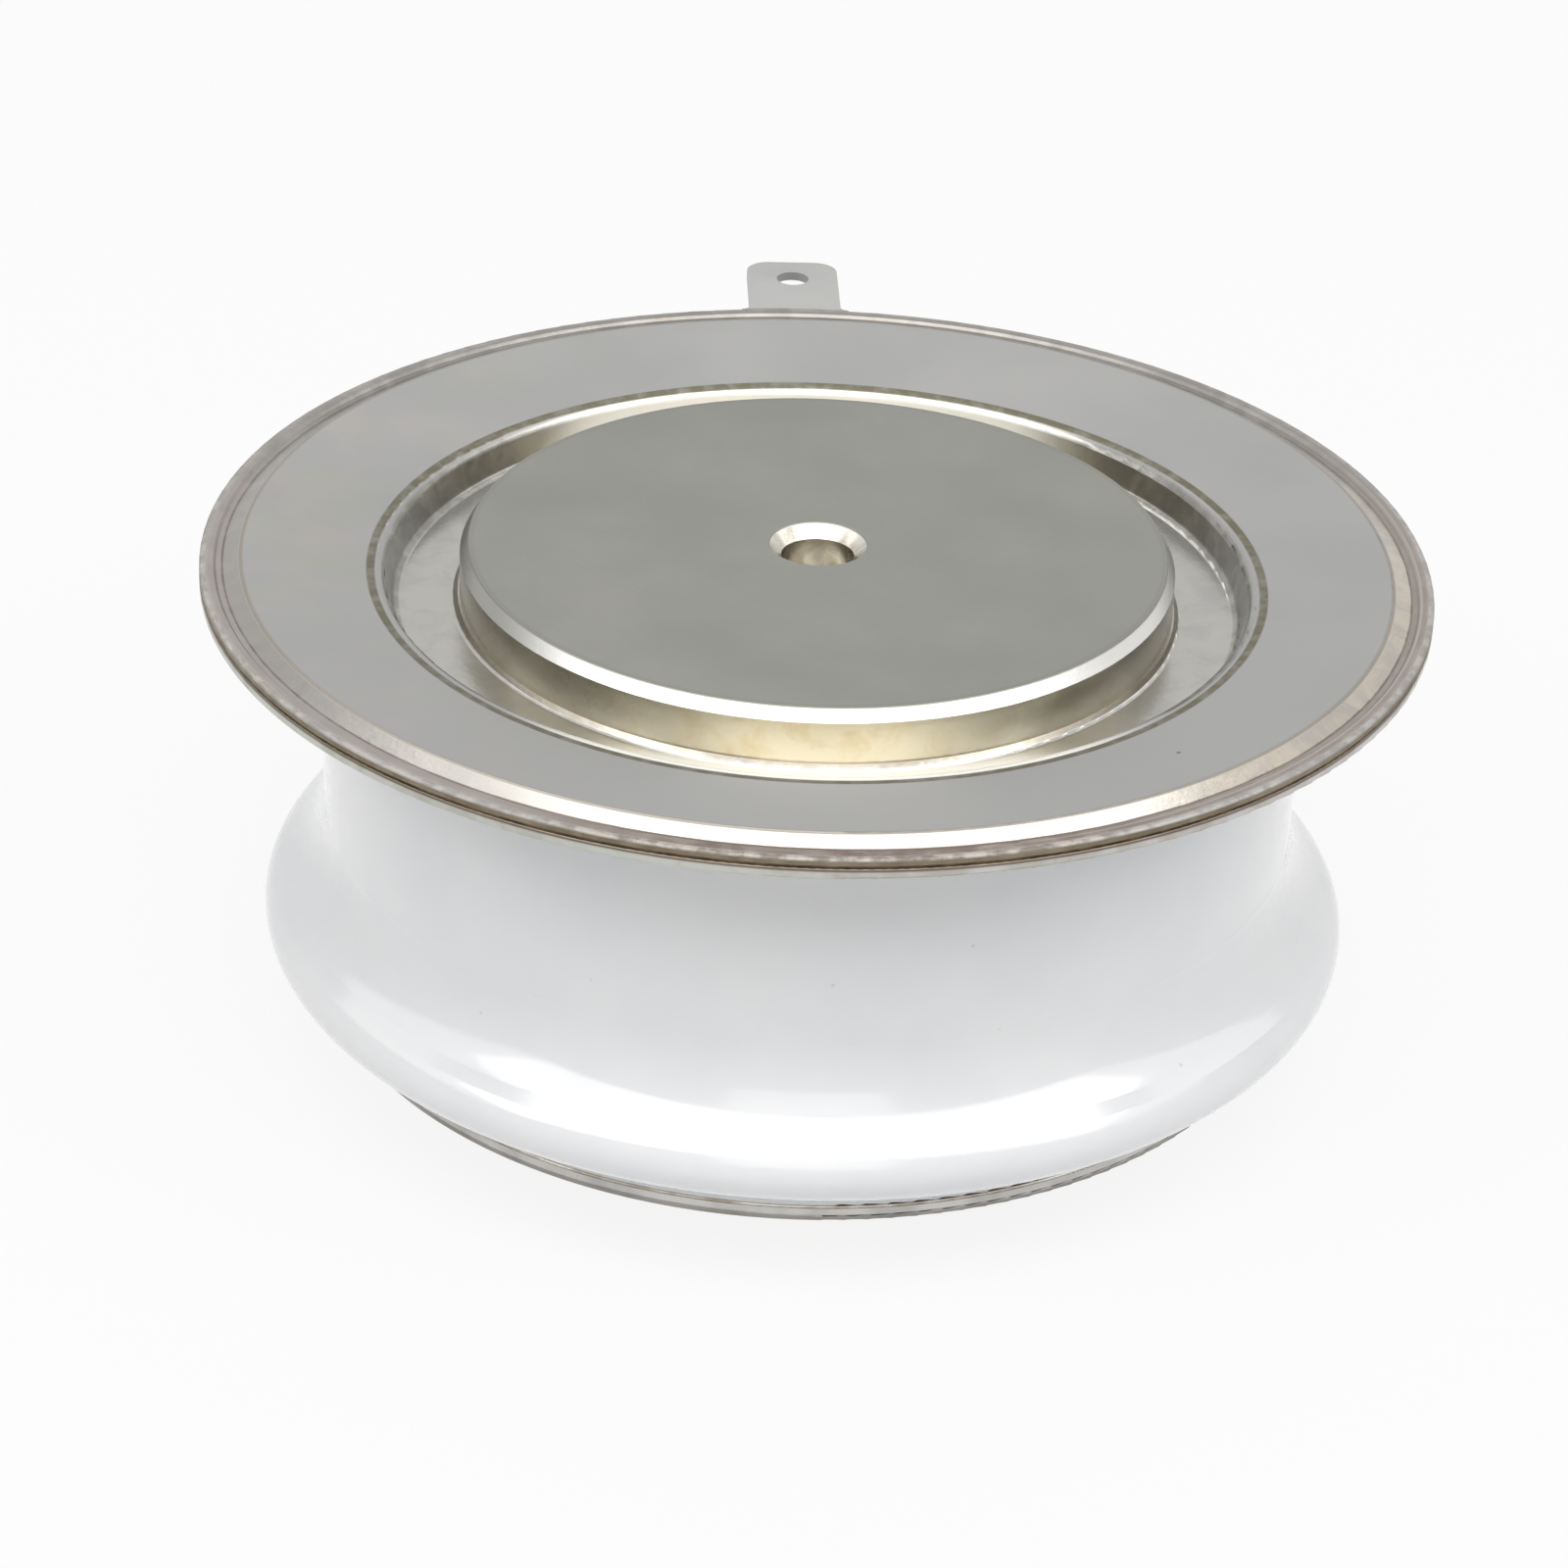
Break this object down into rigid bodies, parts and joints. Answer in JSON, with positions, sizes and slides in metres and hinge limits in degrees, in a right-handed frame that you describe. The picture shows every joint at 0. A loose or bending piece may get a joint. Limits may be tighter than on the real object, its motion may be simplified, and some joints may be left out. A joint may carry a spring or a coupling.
{
  "type": "disc thyristor",
  "caption": "Round press-contact power thyristor: glazed ceramic ring with a hollow waist, nickel-plated flanges and copper pole faces, clamped between two heat sinks to switch large currents.",
  "frame": {"origin": "centre of the anode pole face, the lower contact face that the part rests on", "axes": "+Z along the capsule's axis from the anode to the cathode, +Y from the axis towards the auxiliary cathode tab"},
  "size_m": [0.0584, 0.0647, 0.026],
  "materials": {
    "glazed_ceramic": "glossy white glaze",
    "pole_nickel": "fine matte nickel plate on copper",
    "flange_nickel": "satin nickel plate",
    "molybdenum": "lapped metal",
    "silver": "soft bright silver",
    "silicon": "polished dark grey",
    "silicone_rubber": "translucent cream rubber",
    "fluoropolymer": "waxy white",
    "spring_steel": "satin",
    "copper": "drawn copper"
  },
  "bodies": {
    "root": {"ceramic_ring": "glazed_ceramic", "cathode_pole": "pole_nickel", "anode_pole": "pole_nickel", "cathode_flange": "flange_nickel", "weld_flange": "flange_nickel", "anode_flange": "flange_nickel", "backing_ring": "flange_nickel", "anode_shim": "silver", "anode_disc": "molybdenum", "silicon_wafer": "silicon", "edge_rubber": "silicone_rubber", "cathode_disc": "molybdenum", "cathode_shim": "silver", "locating_ring": "fluoropolymer", "gate_pin": "silver", "gate_springs": "spring_steel", "gate_cup": "fluoropolymer", "gate_lead": "silver", "gate_sleeve": "fluoropolymer", "gate_tube": "copper", "gate_ferrule": "flange_nickel", "gate_tab": "flange_nickel"}
  },
  "joints": []
}
